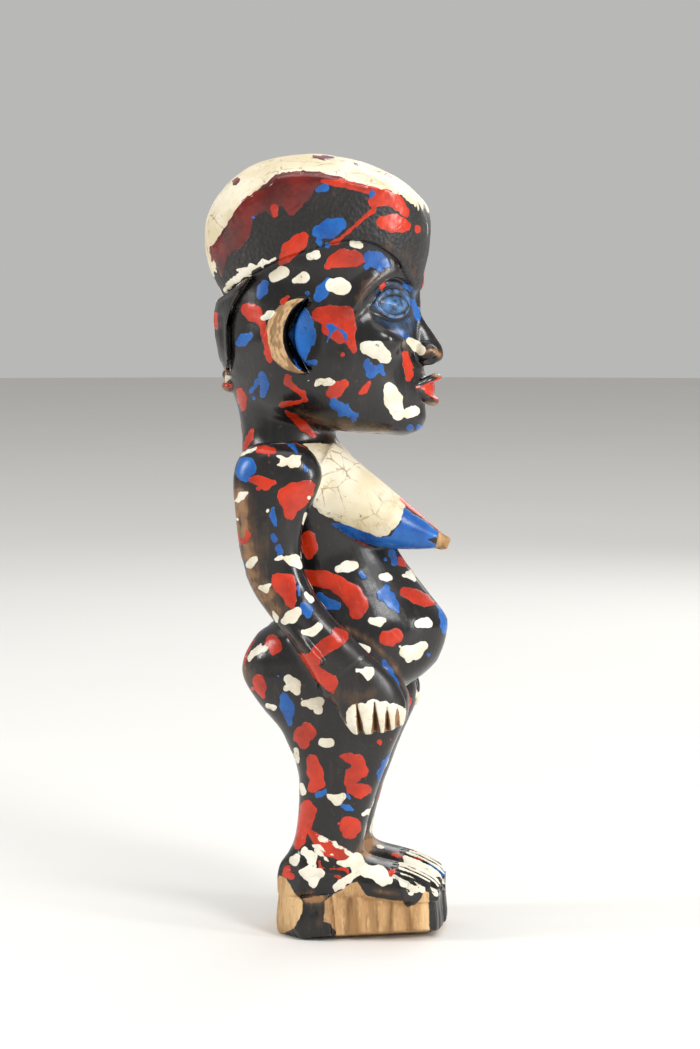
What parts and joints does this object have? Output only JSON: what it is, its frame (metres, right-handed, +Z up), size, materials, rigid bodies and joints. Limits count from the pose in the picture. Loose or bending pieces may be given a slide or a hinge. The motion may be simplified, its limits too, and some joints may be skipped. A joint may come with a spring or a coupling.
{
  "type": "carved fertility doll",
  "caption": "Standing carved wooden female figure with a flared coiffure, long breasts, hands resting on the thighs and feet on a low hewn block.",
  "frame": {"origin": "on the underside of the block, under the middle of the figure", "axes": "+Z up from the block to the coiffure, the figure faces -Y, its right side is at -X"},
  "size_m": [0.087, 0.0962, 0.3],
  "materials": {
    "blackened_wood": "satin black over carved wood, dabbed with vermilion, maroon, cobalt and cream enamel, worn to brown on high spots",
    "cream_paint": "thick yellowed cream enamel with blue and red dabs over black",
    "bare_wood": "raw adze-cut wood with black drips"
  },
  "bodies": {
    "root": {"coiffure": "blackened_wood", "head": "blackened_wood", "nape_braid": "blackened_wood", "neck": "blackened_wood", "torso": "blackened_wood", "right_ear": "bare_wood", "left_ear": "bare_wood", "right_arm": "blackened_wood", "left_arm": "blackened_wood", "right_hand": "blackened_wood", "left_hand": "blackened_wood", "right_breast": "cream_paint", "left_breast": "cream_paint", "right_leg": "blackened_wood", "left_leg": "blackened_wood", "right_foot": "blackened_wood", "left_foot": "blackened_wood", "base_block": "bare_wood"}
  },
  "joints": []
}
